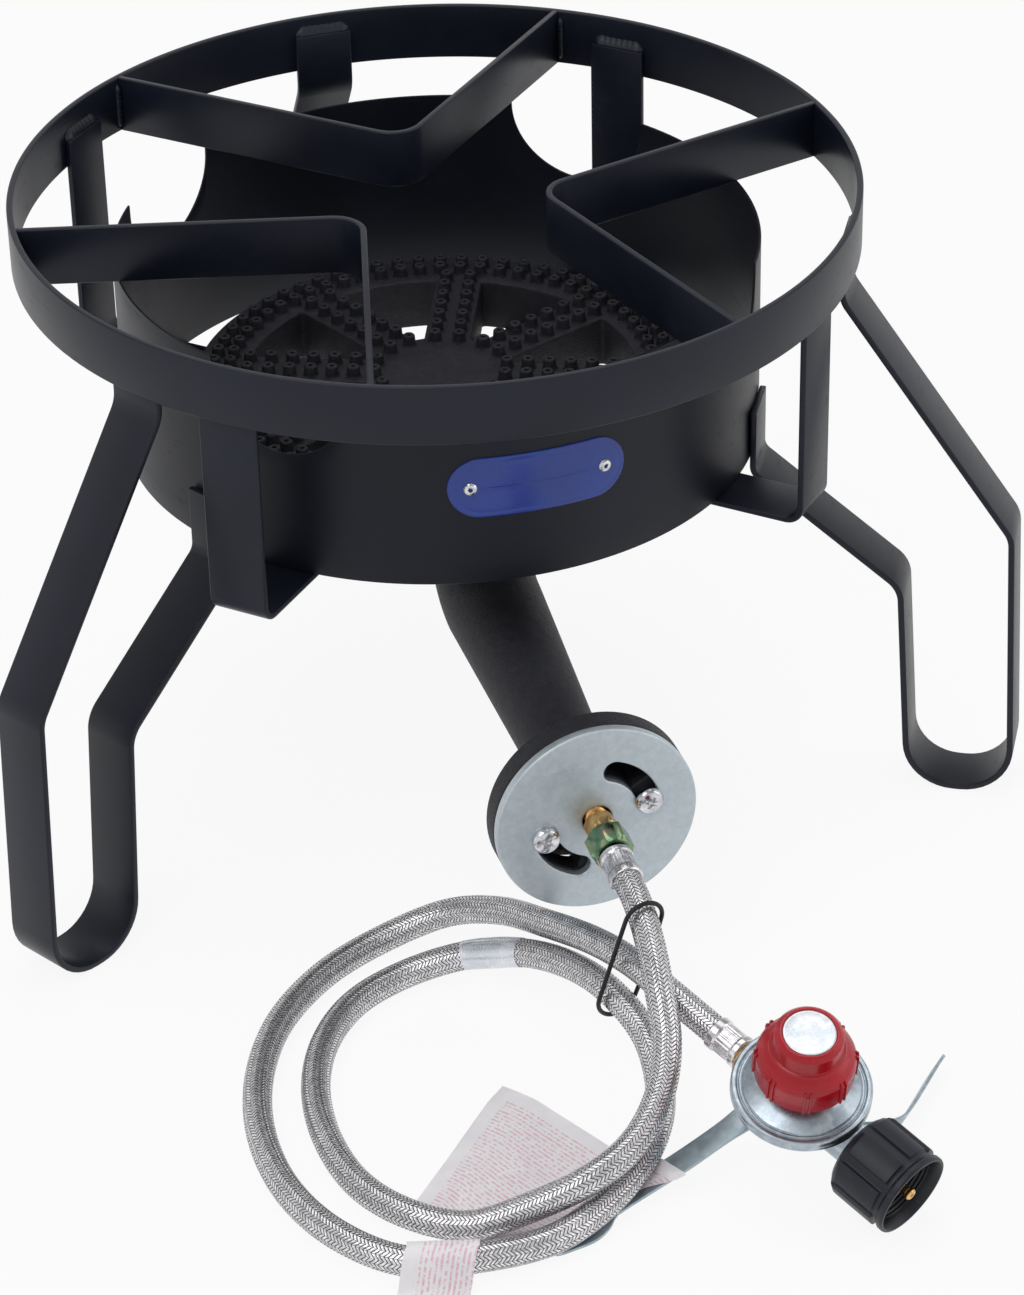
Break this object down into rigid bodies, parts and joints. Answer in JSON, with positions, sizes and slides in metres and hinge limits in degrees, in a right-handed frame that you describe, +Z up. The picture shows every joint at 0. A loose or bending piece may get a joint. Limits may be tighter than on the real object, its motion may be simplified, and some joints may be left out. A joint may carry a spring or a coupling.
{
  "type": "propane burner stand",
  "caption": "Welded flat-bar stand with looped legs holding a cast-iron gas burner in a round windshield, with air shutter, braided hose and adjustable regulator.",
  "frame": {"origin": "on the floor, on the axis of the pot ring", "axes": "+Z up along the pot ring's axis, -Y towards the air shutter, +X to the right seen from the air shutter"},
  "size_m": [0.5326, 0.7728, 0.32],
  "materials": {
    "stand_coat": "satin black powder coat with a cool sheen",
    "weld": "powder coat over a ground weld",
    "shield_coat": "satin black powder coat on sheet",
    "plate_enamel": "blue enamel on thin aluminium, bare of text",
    "rivet": "bright blind rivet",
    "casting": "rough sand-cast iron with black stove paint",
    "screw_zinc": "bright zinc-plated steel",
    "shutter_zinc": "blue-grey zinc-plated steel",
    "brass": "machined brass",
    "yellow_zinc": "yellow-green passivated zinc",
    "ferrule_steel": "crimped stainless steel",
    "braid": "woven stainless steel wire",
    "tie": "black twist tie",
    "band_foil": "silver foil band",
    "paper": "white paper",
    "regulator_zinc": "die-cast and pressed zinc",
    "rubber": "black rubber",
    "inner_steel": "turned steel",
    "knob_red": "moulded red plastic",
    "knob_foil": "bare silver foil disc",
    "nut_black": "moulded black plastic",
    "strip_zinc": "zinc-plated steel strip"
  },
  "bodies": {
    "stand": {"pot_ring": "stand_coat", "pot_support_back": "stand_coat", "pot_support_front_left": "stand_coat", "pot_support_front_right": "stand_coat", "leg_back": "stand_coat", "leg_front_left": "stand_coat", "leg_front_right": "stand_coat", "burner_strap": "stand_coat", "cross_strap_left": "stand_coat", "cross_strap_right": "stand_coat", "weld_beads": "weld", "windshield": "shield_coat", "name_plate": "plate_enamel", "plate_rivets": "rivet", "burner_casting": "casting", "burner_bolt": "screw_zinc", "burner_washer": "screw_zinc", "shutter_screws": "screw_zinc", "orifice_fitting": "brass", "flare_nut": "yellow_zinc", "burner_ferrule": "ferrule_steel", "gas_hose": "braid", "regulator_ferrule": "ferrule_steel", "hose_tie": "tie", "hose_band": "band_foil", "hose_flag": "paper", "paper_tag": "paper", "outlet_fitting": "brass", "regulator_body": "regulator_zinc", "regulator_bonnet": "regulator_zinc", "diaphragm": "rubber", "spring_plate": "inner_steel", "pressure_spring": "inner_steel", "inlet_nipple": "brass", "probe_seal": "rubber", "steel_strip": "strip_zinc", "strip_screw": "screw_zinc"},
    "shutter": {"air_shutter": "shutter_zinc"},
    "adjuster": {"thrust_button": "inner_steel"},
    "knob": {"pressure_screw": "inner_steel", "regulator_knob": "knob_red", "knob_disc": "knob_foil"},
    "coupling": {"coupling_nut": "nut_black"}
  },
  "joints": [
    {"name": "shutter_turn", "type": "hinge", "parent": "stand", "child": "shutter", "pos_m": [0, -0.2385, 0.0955], "axis": [0, 1, 0], "range_deg": [0, 55]},
    {"name": "adjuster_travel", "type": "slide", "parent": "stand", "child": "adjuster", "axis": [0.0453, 0.3029, -0.9519], "range_m": [0, 0.00375]},
    {"name": "knob_turn", "type": "hinge", "parent": "adjuster", "child": "knob", "pos_m": [0.03832, -0.4179, 0.08193], "axis": [0.0453, 0.3029, -0.9519], "range_deg": [0, 1080]},
    {"name": "coupling_turn", "type": "hinge", "parent": "stand", "child": "coupling", "pos_m": [0.06422, -0.44876, 0.02502], "axis": [0.4545, -0.8548, -0.2504], "continuous": true}
  ],
  "couplings": [
    {"joint": "adjuster_travel", "follows": "knob_turn", "m_per_rad": 0.00019893}
  ]
}
